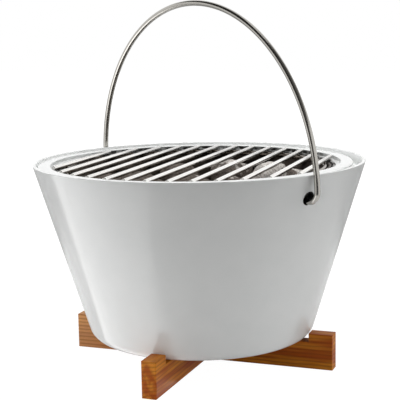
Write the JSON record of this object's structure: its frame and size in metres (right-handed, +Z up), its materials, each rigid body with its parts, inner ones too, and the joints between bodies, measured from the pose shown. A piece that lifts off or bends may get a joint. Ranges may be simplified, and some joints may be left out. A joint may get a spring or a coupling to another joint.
{
  "type": "tabletop grill",
  "caption": "Round charcoal grill for a table: tapered white porcelain bowl on a wooden cross, insert bowl, charcoal tray, rod rack and a swinging rod handle.",
  "frame": {"origin": "centre of the wooden cross at the level of the table", "axes": "+Z up; X along one bar of the cross and Y along the other"},
  "size_m": [0.2998, 0.2998, 0.3284],
  "materials": {
    "white_porcelain": "white glazed porcelain, glossy",
    "oiled_hardwood": "oiled hardwood, straight fine grain, slightly eased edges",
    "rack_steel": "polished stainless steel rod",
    "handle_steel": "satin stainless steel rod",
    "tray_steel": "pressed stainless sheet, darkened by heat and soot",
    "charcoal": "carbonised lump wood, matt black with light grey ash on some faces"
  },
  "bodies": {
    "stand": {"stand_bar_lower": "oiled_hardwood", "stand_bar_upper": "oiled_hardwood"},
    "bowl": {"outer_bowl": "white_porcelain"},
    "insert": {"insert_bowl": "white_porcelain"},
    "tray": {"charcoal_tray": "tray_steel", "charcoal_lump_01": "charcoal", "charcoal_lump_02": "charcoal", "charcoal_lump_03": "charcoal", "charcoal_lump_04": "charcoal", "charcoal_lump_05": "charcoal", "charcoal_lump_06": "charcoal", "charcoal_lump_07": "charcoal", "charcoal_lump_08": "charcoal", "charcoal_lump_09": "charcoal", "charcoal_lump_10": "charcoal", "charcoal_lump_11": "charcoal", "charcoal_lump_12": "charcoal", "charcoal_lump_13": "charcoal", "charcoal_lump_14": "charcoal", "charcoal_lump_15": "charcoal", "charcoal_lump_16": "charcoal", "charcoal_lump_17": "charcoal", "charcoal_lump_18": "charcoal", "charcoal_lump_19": "charcoal"},
    "rack": {"rack_rod_01": "rack_steel", "rack_rod_02": "rack_steel", "rack_rod_03": "rack_steel", "rack_rod_04": "rack_steel", "rack_rod_05": "rack_steel", "rack_rod_06": "rack_steel", "rack_rod_07": "rack_steel", "rack_rod_08": "rack_steel", "rack_rod_09": "rack_steel", "rack_rod_10": "rack_steel", "rack_rod_11": "rack_steel", "rack_rod_12": "rack_steel", "rack_rod_13": "rack_steel", "rack_ring": "rack_steel"},
    "bail": {"handle": "handle_steel"}
  },
  "joints": [
    {"name": "bowl_lift", "type": "slide", "parent": "stand", "child": "bowl", "axis": [0, 0, 1], "range_m": [0, 0.06]},
    {"name": "insert_lift", "type": "slide", "parent": "bowl", "child": "insert", "axis": [0, 0, 1], "range_m": [0, 0.025]},
    {"name": "tray_lift", "type": "slide", "parent": "insert", "child": "tray", "axis": [0, 0, 1], "range_m": [0, 0.05]},
    {"name": "rack_lift", "type": "slide", "parent": "tray", "child": "rack", "axis": [0, 0, 1], "range_m": [0, 0.05]},
    {"name": "handle_swing", "type": "hinge", "parent": "bowl", "child": "bail", "pos_m": [0, 0, 0.1633], "axis": [0.8547, -0.5191, 0], "range_deg": [-138, 134.5]}
  ]
}
